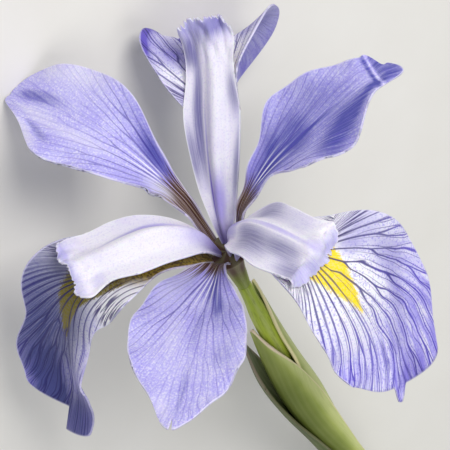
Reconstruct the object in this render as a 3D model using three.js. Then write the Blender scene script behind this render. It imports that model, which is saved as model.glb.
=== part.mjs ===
// A cut stem of virginia blue flag iris in flower, lying on its side.
// Millimetres. In the flower's own frame +Z is the axis of the flower, zero is the top of its tube,
// and every petal stands at an azimuth, counterclockwise from +X seen from above.
// The finished group is turned and lifted to lie on the plane z = 0.

import * as THREE from 'three';
import { LoftGeometry } from 'three/addons/geometries/LoftGeometry.js';
import { mergeVertices } from 'three/addons/utils/BufferGeometryUtils.js';

// Azimuths of the falls and style arms; a standard stands between each two falls
const BACK = 84;
const LEFT = 204;
const RIGHT = 324;
const STANDARD_OFFSET = 60;

// Thicknesses, and the gap kept between pieces that grow against each other. The solids are
// thicker than the living petals, so that they can carry contact.
const PETAL_THICKNESS = 0.8;
const STYLE_THICKNESS = 0.7;
const BRACT_THICKNESS = 0.8;
const JOIN_GAP = 0.3;

// The end of every blade is drawn as a rounded corner: 2 would be an ellipse
const END_POWER = 2.4;

// Steps that a blade is cut into, along and on each side of its midrib
const FALL_STEPS = [16, 6];
const STANDARD_STEPS = [14, 5];
const STYLE_STEPS = [14, 6];
const BRACT_STEPS = [12, 5];
const FOLD_STEPS = 16;
const NEARBY = 0.004;

// The stalk: heights below the top of the tube, and radii
const TUBE_RADIUS = 1.9;
const TUBE_BOTTOM = -13;
const RIM_RADIUS = 4.7;
const OVARY_RADIUS = 2.3;
const OVARY_BOTTOM = -47;
const PEDICEL_RADIUS = 1.7;
const NODE_RADIUS = 4.3;
const NODE_HEIGHT = -112;
const STEM_RADIUS = 3.2;
const CUT_HEIGHT = -172;
const STALK_SIDES = 12;

// The stalk bows to one side below the flower, then runs straight
const BOW_AZIMUTH = 21;
const BOW_REACH = 5.1;
const BOW_HEIGHT = 98;
const BOW_POWER = 2.5;

// Stamens, hidden between each style arm and its fall
const FILAMENT_RADIUS = 0.45;
const ANTHER_RADIUS = 0.95;
const ANTHER_LENGTH = 11;

// How the flower lies: the turn of the whole group, in degrees, and its lift
const LYING_TURN = [18.5, 74.3, -147.3];
const LYING_PLACE = [64.31, -0.81, 43.08];

const COLOURS = {
  fall: 0x8f86dc,
  standard: 0x9d97ea,
  style: 0xe6e2f4,
  tube: 0x5f6132,
  ovary: 0x8d9c3a,
  bract: 0x9fb070,
  darkBract: 0x66753a,
  stem: 0x7f9450,
  filament: 0xe9e4c8,
  anther: 0xd9c98a,
};

const radians = THREE.MathUtils.degToRad;

// A smooth curve through evenly spaced stations, read at t from 0 to 1
function between(stations, t) {
  const last = stations.length - 1;
  const x = THREE.MathUtils.clamp(t, 0, 1) * last;
  const i = Math.min(Math.floor(x), last - 1);
  const f = x - i;
  return stations[i].map((b, k) => {
    const c = stations[i + 1][k];
    const a = i > 0 ? stations[i - 1][k] : 2 * b - c;
    const d = i < last - 1 ? stations[i + 2][k] : 2 * c - b;
    return b + 0.5 * f * (c - a + f * (2 * a - 5 * b + 4 * c - d + f * (3 * (b - c) + d - a)));
  });
}

// How the fold grows from the midrib (q = 0) to the edge (q = 1), as a share of the fold angle
const petalFold = (q) => 0.35 + 0.65 * q;
const ridgeFold = (q) => (q < 0.62 ? Math.sin(Math.PI * (q / 0.62) ** 0.8) : (-0.25 * (q - 0.62)) / 0.38);
const wrapFold = (q) => q;

// How far along the blade its end reaches at the side place v, from -1 (right edge) to 1 (left edge).
// Reach is for the edges and tip for the middle, left half first.
function endReach(v, reach, tip) {
  const half = v >= 0 ? 0 : 1;
  const rounding = Math.max(0, 1 - Math.abs(v) ** END_POWER) ** (1 / END_POWER);
  return reach[half] + (tip[half] - reach[half]) * rounding;
}

// A petal, style arm or bract: a thin blade, lofted through folded cross-sections.
// Each station is [outward, up, aside, half width left, half width right, fold left, fold right].
function blade({ azimuth, stations, thickness, reach, tip = [1, 1], fold = petalFold, steps }) {
  const [rows, columns] = steps;
  const angle = radians(azimuth);
  const outward = new THREE.Vector3(Math.cos(angle), Math.sin(angle), 0);
  const aside = new THREE.Vector3(-Math.sin(angle), Math.cos(angle), 0);
  const up = new THREE.Vector3(0, 0, 1);

  const midrib = (t) => {
    const [out, rise, drift] = between(stations, t);
    return new THREE.Vector3()
      .addScaledVector(outward, out)
      .addScaledVector(up, rise)
      .addScaledVector(aside, drift);
  };

  const point = (u, v, face) => {
    const t = u * endReach(v, reach, tip);
    const [, , , left, right, foldLeft, foldRight] = between(stations, t);
    const ahead = midrib(Math.min(t + NEARBY, 1));
    const along = ahead.sub(midrib(Math.max(t - NEARBY, 0))).normalize();
    const normal = new THREE.Vector3().crossVectors(along, aside).normalize();
    const across = new THREE.Vector3().crossVectors(normal, along);
    const side = v >= 0 ? 1 : -1;
    const width = v >= 0 ? left : right;
    const turn = radians(v >= 0 ? foldLeft : foldRight);
    const step = Math.abs(v) / FOLD_STEPS;
    let sideways = 0;
    let rise = 0;
    for (let k = 0; k < FOLD_STEPS; k++) {
      const heading = turn * fold((k + 0.5) * step);
      sideways += Math.cos(heading) * step;
      rise += Math.sin(heading) * step;
    }
    const heading = turn * fold(Math.abs(v));
    const thinning = Math.sqrt(Math.max(0, 1 - v * v)) * Math.sqrt(1 - u ** 8);
    const half = 0.5 * thickness * face * thinning;
    return midrib(t)
      .addScaledVector(across, side * (width * sideways - half * Math.sin(heading)))
      .addScaledVector(normal, width * rise + half * Math.cos(heading));
  };

  const sections = [];
  for (let i = 0; i <= rows; i++) {
    const ring = [];
    for (let j = -columns; j <= columns; j++) ring.push(point(i / rows, sideAt(j, columns), -1));
    for (let j = columns - 1; j > -columns; j--) ring.push(point(i / rows, sideAt(j, columns), 1));
    sections.push(ring);
  }
  return closed(new LoftGeometry(sections, { capStart: true }));
}

// Columns crowd towards the edges, where the end of the blade curves most
function sideAt(j, columns) {
  return Math.abs(j) === columns ? Math.sign(j) : Math.sin((Math.PI / 2) * (j / columns));
}

// Only positions are kept, so that neighbouring faces share their corners
function closed(geometry) {
  const bare = new THREE.BufferGeometry();
  bare.setAttribute('position', geometry.getAttribute('position'));
  bare.setIndex(geometry.getIndex());
  return mergeVertices(bare, 1e-4);
}

// Shifts what grows along the stalk sideways, by the bow at each height
function bowed(geometry) {
  const place = geometry.getAttribute('position');
  const slope = (BOW_REACH * BOW_POWER) / BOW_HEIGHT;
  for (let i = 0; i < place.count; i++) {
    const depth = Math.max(0, -place.getZ(i));
    const shift = depth < BOW_HEIGHT
      ? BOW_REACH * (depth / BOW_HEIGHT) ** BOW_POWER
      : BOW_REACH + slope * (depth - BOW_HEIGHT);
    place.setX(i, place.getX(i) + shift * Math.cos(radians(BOW_AZIMUTH)));
    place.setY(i, place.getY(i) + shift * Math.sin(radians(BOW_AZIMUTH)));
  }
  return geometry;
}

// A round piece of the stalk from [radius, height] points, lowest first
function turned(profile) {
  const points = profile.map(([radius, height]) => new THREE.Vector2(radius, height));
  const geometry = new THREE.LatheGeometry(points, STALK_SIDES);
  geometry.rotateX(Math.PI / 2);
  return bowed(closed(geometry));
}

// A bract clasps the stalk. Each station is [radius, height, wrap left, wrap right], wraps in degrees.
function bract({ azimuth, stations, reach }) {
  const clasping = stations.map(([radius, height, left, right]) => [
    radius, height, 0, radius * radians(left), radius * radians(right), left, right,
  ]);
  const thickness = BRACT_THICKNESS;
  return bowed(blade({ azimuth, stations: clasping, thickness, reach, fold: wrapFold, steps: BRACT_STEPS }));
}

const iris = new THREE.Group();

function addPiece(name, geometry, colour, roughness = 0.6) {
  const material = new THREE.MeshStandardMaterial({ color: colour, roughness, metalness: 0 });
  const mesh = new THREE.Mesh(geometry, material);
  mesh.name = name;
  iris.add(mesh);
}

// Stem and node: the slender part above the node runs inside the bracts to the ovary
addPiece('stem', turned([
  [0, CUT_HEIGHT],
  [STEM_RADIUS, CUT_HEIGHT],
  [STEM_RADIUS, NODE_HEIGHT - 8],
  [NODE_RADIUS, NODE_HEIGHT - 2],
  [NODE_RADIUS, NODE_HEIGHT],
  [PEDICEL_RADIUS + 0.2, NODE_HEIGHT],
  [PEDICEL_RADIUS, NODE_HEIGHT + 14],
  [PEDICEL_RADIUS, OVARY_BOTTOM - 4],
  [0, OVARY_BOTTOM - 4],
]), COLOURS.stem);

addPiece('ovary', turned([
  [0, OVARY_BOTTOM - 4 + JOIN_GAP],
  [PEDICEL_RADIUS, OVARY_BOTTOM - 4 + JOIN_GAP],
  [OVARY_RADIUS - 0.2, OVARY_BOTTOM + 4],
  [OVARY_RADIUS, OVARY_BOTTOM + 12],
  [OVARY_RADIUS - 0.1, OVARY_BOTTOM + 21],
  [TUBE_RADIUS - 0.2, TUBE_BOTTOM - 6],
  [TUBE_RADIUS - 0.3, TUBE_BOTTOM - JOIN_GAP],
  [0, TUBE_BOTTOM - JOIN_GAP],
]), COLOURS.ovary);

addPiece('perianth_tube', turned([
  [0, TUBE_BOTTOM],
  [TUBE_RADIUS - 0.3, TUBE_BOTTOM],
  [TUBE_RADIUS, TUBE_BOTTOM + 3],
  [TUBE_RADIUS + 0.4, -6],
  [TUBE_RADIUS + 1.2, -2.5],
  [RIM_RADIUS, 0],
  [0, 0],
]), COLOURS.tube);

// The two opposite bracts of the spathe, and a darker one below them
addPiece('spathe_back', bract({
  azimuth: 45,
  reach: [0.9, 0.9],
  stations: [
    [2.8, NODE_HEIGHT + 2 * JOIN_GAP, 140, 140],
    [2.6, -95, 135, 135],
    [3.6, -79, 125, 125],
    [4.3, -63, 110, 110],
    [3.6, -47, 80, 80],
    [3.0, -31, 62, 72],
    [2.5, -15, 22, 25],
  ],
}), COLOURS.bract);

addPiece('spathe_front', bract({
  azimuth: 225,
  reach: [0.92, 0.92],
  stations: [
    [3.9, NODE_HEIGHT + 2 * JOIN_GAP, 140, 140],
    [3.8, -98, 135, 135],
    [4.7, -84, 125, 125],
    [5.4, -70, 118, 118],
    [5.4, -57, 110, 112],
    [4.5, -43, 88, 92],
    [3.3, -29, 18, 18],
  ],
}), COLOURS.bract);

addPiece('spathe_lower', bract({
  azimuth: 190,
  reach: [0.85, 0.85],
  stations: [
    [4.1, NODE_HEIGHT - 12, 110, 110],
    [5.3, NODE_HEIGHT - 1, 105, 105],
    [5.3, -97, 90, 90],
    [5.9, -82, 72, 72],
    [7.3, -66, 52, 52],
    [7.9, -51, 36, 36],
    [6.6, -36, 12, 12],
  ],
}), COLOURS.darkBract);

// Falls: the three broad outer petals that hang. A narrow claw, then a wide blade.
const fall = (azimuth, reach, tip, stations) =>
  blade({ azimuth, reach, tip, stations, thickness: PETAL_THICKNESS, steps: FALL_STEPS });

addPiece('fall_back', fall(BACK, [0.77, 0.84], [1, 1], [
  [3.8, 0.7, 0, 1.5, 1.5, 0, 0],
  [8, 4.5, 0, 2.6, 2.6, 40, 40],
  [16, 8.4, 0, 4.1, 4.2, 40, 40],
  [25, 12.8, 0, 6, 4.6, 22, 30],
  [34, 17.2, 0, 13.8, 6, 31, 55],
  [42.5, 18.3, 0.5, 17.9, 14, 22, 46],
  [47, 11, 2.5, 12, 13.2, 5, 41],
  [48, -2, 5.5, 8, 2.4, 5, 25],
  [47, -13, 8.5, 6, 3, 0, 0],
]), COLOURS.fall);

addPiece('fall_left', fall(LEFT, [0.98, 0.87], [1, 0.93], [
  [3.8, 0.7, 0, 1.5, 1.5, 0, 0],
  [8, 6, 0, 4, 3, 10, 45],
  [16, 10.5, 0, 5.4, 4.3, 10, 50],
  [24.5, 12.5, 0, 10.1, 10, 5, 40],
  [33, 10, 0, 8.6, 12.8, -30, 60],
  [38, 1, 0, 6.8, 11.2, -20, 66],
  [41, -8, 0, 9.4, 13.2, 10, 66],
  [44, -15.5, 2, 8.2, 12.6, -10, 60],
  [49.5, -21.5, 6, 7, 7.4, -20, 45],
]), COLOURS.fall);

addPiece('fall_right', fall(RIGHT, [0.91, 0.85], [0.96, 0.96], [
  [3.8, 0.7, 0, 1.5, 1.5, 0, 0],
  [8, 7, 0, 3, 3, 45, 45],
  [16, 12.5, 0, 4, 5.2, 45, 50],
  [24.5, 15.5, 0, 9, 8.2, 20, 20],
  [31.5, 13.5, 0, 15.6, 10.3, 10, -5],
  [36.5, 5.5, 0, 19, 12.5, -5, -8],
  [39, -4, -0.5, 18.8, 12.9, -10, -8],
  [41, -12, -3, 18.2, 10.7, -12, -5],
  [43.5, -19, -8, 18.4, 5.4, -15, 0],
]), COLOURS.fall);

// Standards: the three upright petals, slender at the claw and spread like a spoon
const standard = (azimuth, reach, stations) =>
  blade({ azimuth, reach, stations, thickness: PETAL_THICKNESS, steps: STANDARD_STEPS });

addPiece('standard_left', standard(BACK + STANDARD_OFFSET, [0.66, 0.88], [
  [3.8, 0.7, 0, 1.4, 1.4, 0, 0],
  [5.1, 7.9, 0, 1.7, 1.6, 40, 40],
  [7.5, 16, 0, 2.8, 2.2, 35, 35],
  [14, 22.5, 0, 5.4, 5, 25, 25],
  [24, 27, 0, 9.7, 11.4, 15, 20],
  [35, 28.5, 0, 10.2, 12.8, 10, 15],
  [45, 28, 0, 4.9, 10.6, 5, 10],
  [53, 26, 0, 2.1, 7.8, 0, 0],
]), COLOURS.standard);

addPiece('standard_right', standard(RIGHT + STANDARD_OFFSET, [0.83, 0.8], [
  [3.8, 0.7, 0, 1.4, 1.4, 0, 0],
  [6, 7.5, 0, 1.9, 1.9, 40, 40],
  [9.5, 13, 0, 2.5, 2.6, 35, 35],
  [16, 18, 0, 5.8, 2.9, 25, 25],
  [24, 21.5, 0, 12.4, 9.8, 15, 20],
  [33, 25, 0, 10.9, 11, 10, 15],
  [41.5, 27.5, 0, 6.8, 3.5, 5, 10],
  [49, 26, 0, 3.2, 2.1, 0, 0],
]), COLOURS.standard);

addPiece('standard_front', standard(LEFT + STANDARD_OFFSET, [0.8, 0.75], [
  [3.8, 0.7, 0, 1.4, 1.4, 0, 0],
  [6.5, 3.5, 0, 1.7, 3, 40, 40],
  [12.5, 6, 0, 3.9, 9, 30, 30],
  [21, 9.5, 0, 8.5, 13.2, 15, 20],
  [30, 13, 0, 11.3, 13.9, 10, 15],
  [38, 15.3, 0, 11.8, 11.2, 10, 15],
  [46, 17.2, 0, 8.3, 6.2, 5, 10],
  [53.5, 19.5, 0, 2.7, 4, 0, 0],
]), COLOURS.standard);

// Style arms: each arches over a fall like a ridged roof and ends in a crest
const styleArm = (azimuth, reach, stations) =>
  blade({
    azimuth,
    stations,
    reach,
    thickness: STYLE_THICKNESS,
    fold: ridgeFold,
    steps: STYLE_STEPS,
  });

addPiece('style_arm_back', styleArm(BACK, [0.9, 0.93], [
  [1.4, 0.6, 0, 1.2, 1.2, -40, -40],
  [4, 6, 0, 3.3, 3.3, -60, -60],
  [9.5, 10.5, 0, 6.1, 4.7, -60, -60],
  [16, 15, 0, 7.9, 5.7, -58, -55],
  [24, 18.5, 0, 9.2, 5.8, -52, -48],
  [31, 22, 0, 7.4, 4.6, -40, -40],
  [35.5, 26.5, 0, 6.6, 5.2, -28, -30],
  [38.5, 32.5, 0, 7.8, 4.9, -15, -20],
]), COLOURS.style);

addPiece('style_arm_left', styleArm(LEFT, [0.88, 0.93], [
  [1.4, 0.6, 0, 1.2, 1.2, -40, -40],
  [3, 9, 0, 4.8, 3.8, -60, -60],
  [6.5, 14.5, 0, 7.4, 6.5, -62, -60],
  [12, 18.5, 0, 9, 7.8, -60, -52],
  [18, 19.6, 0, 9, 9, -55, -45],
  [24, 20, 0, 7.9, 8.6, -50, -40],
  [28.5, 20.6, 0, 8.6, 8.6, -45, -30],
  [32, 21.5, 0, 7.6, 6.6, -40, -20],
]), COLOURS.style);

addPiece('style_arm_right', styleArm(RIGHT, [0.93, 0.93], [
  [1.4, 0.6, 0, 1.2, 1.2, -40, -40],
  [3.8, 9.8, 0, 4, 3.6, -60, -60],
  [7.8, 15.4, 0, 6.7, 6.8, -58, -62],
  [13.2, 20, 0, 8.1, 8.4, -50, -62],
  [19, 21.8, 0, 7.4, 9.7, -45, -58],
  [25, 21.5, 0, 7.1, 9.1, -42, -52],
  [29.5, 20.5, 0, 7.7, 8.5, -30, -42],
  [31.5, 16.5, 0, 6, 9.6, -20, -25],
]), COLOURS.style);

// Stamens: a round filament along [outward, up] points, and an anther that carries on from its end
function addStamen(place, azimuth, route) {
  const angle = radians(azimuth);
  const spot = ([out, up]) => new THREE.Vector3(out * Math.cos(angle), out * Math.sin(angle), up);
  const curve = new THREE.CatmullRomCurve3(route.map(spot));
  const round = new THREE.Shape().absarc(0, 0, FILAMENT_RADIUS, 0, 2 * Math.PI);
  const filament = new THREE.ExtrudeGeometry(round, {
    extrudePath: curve,
    steps: 8,
    curveSegments: 4,
    bevelEnabled: false,
  });
  addPiece(`filament_${place}`, closed(filament), COLOURS.filament);

  const heading = curve.getTangent(1);
  const anther = new THREE.CapsuleGeometry(ANTHER_RADIUS, ANTHER_LENGTH - 2 * ANTHER_RADIUS, 3, 8);
  const middle = curve.getPoint(1).addScaledVector(heading, ANTHER_LENGTH / 2 + JOIN_GAP);
  anther.applyQuaternion(new THREE.Quaternion().setFromUnitVectors(new THREE.Vector3(0, 1, 0), heading));
  anther.translate(middle.x, middle.y, middle.z);
  addPiece(`anther_${place}`, closed(anther), COLOURS.anther);
}

addStamen('back', BACK, [[2.7, 0.7], [4.1, 3.7], [7.3, 6.4], [11, 8.4]]);
addStamen('left', LEFT, [[2.7, 0.7], [3.8, 5.2], [6.7, 9], [11, 11.4]]);
addStamen('right', RIGHT, [[2.7, 0.7], [4.1, 5], [7.2, 9.2], [11.4, 11.9]]);

iris.rotation.set(...LYING_TURN.map(radians));
iris.position.set(...LYING_PLACE);

export default iris;
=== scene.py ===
"""A cut stem of virginia blue flag iris in flower, lying on a pale floor."""

import math

import bmesh
import bpy
from mathutils import Matrix, Vector, noise


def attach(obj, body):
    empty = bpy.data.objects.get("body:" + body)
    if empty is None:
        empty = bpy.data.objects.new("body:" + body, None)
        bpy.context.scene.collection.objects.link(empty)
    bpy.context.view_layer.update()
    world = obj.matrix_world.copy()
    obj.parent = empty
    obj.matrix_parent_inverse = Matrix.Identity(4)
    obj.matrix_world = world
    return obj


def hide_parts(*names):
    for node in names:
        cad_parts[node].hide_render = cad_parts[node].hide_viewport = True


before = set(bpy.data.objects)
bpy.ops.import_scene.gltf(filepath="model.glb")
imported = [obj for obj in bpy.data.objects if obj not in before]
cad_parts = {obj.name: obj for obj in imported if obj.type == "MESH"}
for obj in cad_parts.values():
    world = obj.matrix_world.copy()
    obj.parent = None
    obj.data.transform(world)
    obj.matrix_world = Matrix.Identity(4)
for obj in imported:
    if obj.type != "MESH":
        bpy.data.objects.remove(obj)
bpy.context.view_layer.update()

# Lengths below are in millimetres, in the flower's own frame: +Z is the axis of the flower, zero is
# the top of its tube, and a petal's azimuth is counterclockwise from +X seen from above.
MM = 0.001
UP = Vector((0, 0, 1))
BACK, LEFT, RIGHT = 84, 204, 324
STANDARD_OFFSET = 60

# How the whole flower is turned and lifted, so that it lies on the floor as the solid model does
LYING_TURN = (18.5, 74.3, -147.3)
LYING_PLACE = (64.31, -0.81, 43.08)

# The view of the flower: how far its axis leans in the picture and how far it points at the eye,
# the distance of the eye, where the top of the tube lies in the picture, and the width seen there
VIEW_LEAN = 26
VIEW_RISE = 52
EYE_DISTANCE = 412
HEART_PLACE = (0.43, -5.59)
VIEW_WIDTH = 96.75

# The end of every blade is drawn as a rounded corner: 2 would be an ellipse
END_POWER = 2.4
PETAL_THICKNESS = 0.42
STYLE_THICKNESS = 0.5
BRACT_THICKNESS = 0.6

# The stalk bows to one side below the flower, then runs straight
BOW_AZIMUTH = 21
BOW_REACH = 5.1
BOW_HEIGHT = 98
BOW_POWER = 2.5

# Heights of the stalk's parts, from the cut end up, and their radii
CUT_HEIGHT = -172
NODE_HEIGHT = -112
PEDICEL_TOP = -51
OVARY_BOTTOM = -50.7
OVARY_TOP = -13.3
TUBE_BOTTOM = -13
STEM_RADIUS = 3.2
NODE_RADIUS = 4.3
PEDICEL_RADIUS = 1.7


def lying():
    """Takes a point of the flower's own frame to the floor, in metres."""
    spins = [Matrix.Rotation(math.radians(angle), 4, axis) for angle, axis in zip(LYING_TURN, "XYZ")]
    return Matrix.Scale(MM, 4) @ Matrix.Translation(LYING_PLACE) @ spins[0] @ spins[1] @ spins[2]


LYING = lying()


def to_eye():
    """Takes a point of the flower's own frame to the eye's frame: right, up, and towards the eye."""
    lean, rise = math.radians(VIEW_LEAN), math.radians(VIEW_RISE)
    axis = Vector((-math.sin(lean) * math.cos(rise), math.cos(lean) * math.cos(rise), math.sin(rise)))
    first = (Vector((1, 0, 0)) - axis.x * axis).normalized()
    second = axis.cross(first)
    turn = Matrix((first, second, axis)).transposed().to_4x4()
    return Matrix.Translation((*HEART_PLACE, -EYE_DISTANCE)) @ turn


TO_EYE = to_eye()


def add_camera():
    camera = bpy.data.cameras.new("view")
    camera.sensor_width = 36
    camera.lens = camera.sensor_width * EYE_DISTANCE / VIEW_WIDTH
    camera.clip_start = 0.02
    holder = bpy.data.objects.new("view", camera)
    place = LYING @ TO_EYE.inverted()
    holder.matrix_world = Matrix.LocRotScale(place.translation, place.to_quaternion(), None)
    bpy.context.scene.collection.objects.link(holder)
    bpy.context.scene.camera = holder


add_camera()


class Value:
    """What a node gives out. Its sums, differences and products are Math nodes."""

    def __init__(self, finish, socket):
        self.finish = finish
        self.socket = socket

    def __add__(self, other):
        return self.finish.math("ADD", self, other)

    def __sub__(self, other):
        return self.finish.math("SUBTRACT", self, other)

    def __mul__(self, other):
        return self.finish.math("MULTIPLY", self, other)

    def __truediv__(self, other):
        return self.finish.math("DIVIDE", self, other)

    def __neg__(self):
        return self.finish.math("SUBTRACT", 0.0, self)

    def __abs__(self):
        return self.finish.math("ABSOLUTE", self)


def tint(code):
    """A colour from its usual six digits, as the shader reads it."""
    parts = [(code >> shift & 255) / 255 for shift in (16, 8, 0)]
    return (*(c / 12.92 if c < 0.04045 else ((c + 0.055) / 1.055) ** 2.4 for c in parts), 1)


class Finish:
    """A procedural material, put together node by node around one Principled shader. Its ground is
    the colour so far, and each coat is laid over that."""

    def __init__(self, name, roughness, thin=0.0, velvet=0.0):
        self.material = bpy.data.materials.new(name)
        self.material.use_nodes = True
        self.nodes = self.material.node_tree.nodes
        self.links = self.material.node_tree.links
        self.shader = self.nodes["Principled BSDF"]
        self.ground = None
        inputs = self.shader.inputs
        inputs["Roughness"].default_value = roughness
        inputs["Specular IOR Level"].default_value = 0.3
        inputs["Subsurface Weight"].default_value = thin
        inputs["Subsurface Radius"].default_value = (1.0, 0.7, 1.2)
        inputs["Subsurface Scale"].default_value = 0.5 * MM
        inputs["Sheen Weight"].default_value = velvet
        inputs["Sheen Roughness"].default_value = 0.4

    def plug(self, socket, value):
        if isinstance(value, Value):
            self.links.new(value.socket, socket)
        else:
            socket.default_value = value

    def node(self, kind, output=0, inputs=(), **settings):
        node = self.nodes.new(kind)
        for name, value in settings.items():
            setattr(node, name, value)
        for name, value in dict(inputs).items():
            self.plug(node.inputs[name], value)
        return Value(self, node.outputs[output])

    def math(self, operation, first, second=0.0):
        return self.node("ShaderNodeMath", inputs={0: first, 1: second}, operation=operation)

    def smooth(self, value, low, high):
        """0 below low and 1 above high, or the other way round where low is the larger."""
        inputs = {"Value": value, "From Min": low, "From Max": high}
        return self.node("ShaderNodeMapRange", inputs=inputs, interpolation_type="SMOOTHSTEP")

    def mix(self, share, first, second):
        """The first colour where share is 0, the second where it is 1."""
        inputs = {0: share, 6: first, 7: second}
        return self.node("ShaderNodeMix", output=2, inputs=inputs, data_type="RGBA")

    def blend(self, share, first, second):
        """The first value where share is 0, the second where it is 1."""
        return self.node("ShaderNodeMix", inputs={0: share, 2: first, 3: second})

    def join(self, x, y, z=0.0):
        return self.node("ShaderNodeCombineXYZ", inputs={0: x, 1: y, 2: z})

    def attribute(self, name):
        """The three numbers that a piece's points hold under that name."""
        held = self.node("ShaderNodeAttribute", output="Vector", attribute_name=name)
        return [self.node("ShaderNodeSeparateXYZ", output=i, inputs={0: held}) for i in range(3)]

    def grain(self, scale, detail=2.0, at=None):
        """Noise from 0 to 1, at the piece's own coordinates in metres unless others are given."""
        at = at or self.node("ShaderNodeTexCoord", output="Object")
        inputs = {"Vector": at, "Scale": scale, "Detail": detail}
        return self.node("ShaderNodeTexNoise", inputs=inputs)

    def fibres(self, label, along, count=30.0, length=7.0):
        """Fine streaks that follow the veins."""
        return self.grain(1.0, 3.0, self.join(label * count, along * length))

    def ribs(self, around):
        """Lengthwise ribs, one to a unit of the way around."""
        return self.smooth(abs(self.math("FRACT", around) - 0.5), 0.1, 0.45)

    def streaked(self, strength, thread, low, high):
        """A strength that follows the fibres, from low to high times itself."""
        return strength * self.blend(self.smooth(thread, 0.3, 0.7), low, high)

    def lay(self, share, colour):
        """Lays a coat over the ground, and the colour covers it where share is 1."""
        self.ground = self.mix(share, self.ground, colour)

    def relief(self, height, depth):
        """Raises the surface where height is 1, by depth in millimetres."""
        bump = {"Height": height, "Distance": depth * MM, "Strength": 1.0}
        self.plug(self.shader.inputs["Normal"], self.node("ShaderNodeBump", inputs=bump))

    def done(self):
        self.plug(self.shader.inputs["Base Color"], self.ground)
        return self.material


# How far a vein strays sideways, as a share of the distance to the next one
VEIN_WANDER = 0.5


def veins(f, label, spread, along, count, forks, apart, width, even=1.0):
    """A mask of branching veins, count to a unit of the label. Each forks where it has grown apart
    from its neighbours by that many millimetres, up to the given number of times. Even is the
    strength that the weakest vein keeps."""
    drift = f.grain(1.8, 1.5, f.join(label * 2.2, along * 3.6)) - 0.5
    across = label * count + drift * VEIN_WANDER
    own = f.math("ROUND", across)
    timing = f.grain(1.0, 0.0, f.join(own * 5.3, 4.0)) - 0.5
    offset = abs(across - own)
    spacing = spread / count
    for fork in range(forks):
        opened = f.smooth(spacing * 0.5 ** fork + timing * (apart * 1.2), apart, apart * 1.4)
        offset = abs(offset - opened * (0.25 * 0.5 ** fork))
    vigour = f.grain(1.0, 0.0, f.join(own * 3.7, 8.0))
    strength = f.smooth(vigour, 0.35, 0.6) * (1.0 - even) + even
    line = f.smooth(offset * spacing, width, width * 0.3)
    return line * f.smooth(spacing, 0.3, 0.9) * strength


# Colours of the falls: petal, veins and haft, and the ink of veins in painted shade
FALL_WHITE = tint(0xFBFAFF)
FALL_LAVENDER = tint(0xBBB4F6)
FALL_PALE_THREAD = tint(0xF2F0FF)
FALL_DEEP_THREAD = tint(0x8478E2)
FALL_FRECKLE = tint(0x7D6EDC)
FALL_RIM = tint(0xDCD8F6)
FALL_VEIL_BELOW = tint(0x8782CC)
THROAT_INK = tint(0x1C0C60)
OUTER_INK = tint(0x4632BC)
SHADED_INK = tint(0x262266)
HAFT_BAR = tint(0x35256E)
HAFT_OLIVE = tint(0x9A8430)
HAFT_SPOT = tint(0x4E3A18)

# Veins to a unit of the label, which runs across the petal
FALL_VEINS = 2.5
STANDARD_VEINS = 3.0

# The yellow signal: where its tip lies along the petal, and how fast it widens towards the throat
SIGNAL_TIP = 0.665
SIGNAL_TAPER = 1.5


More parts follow.
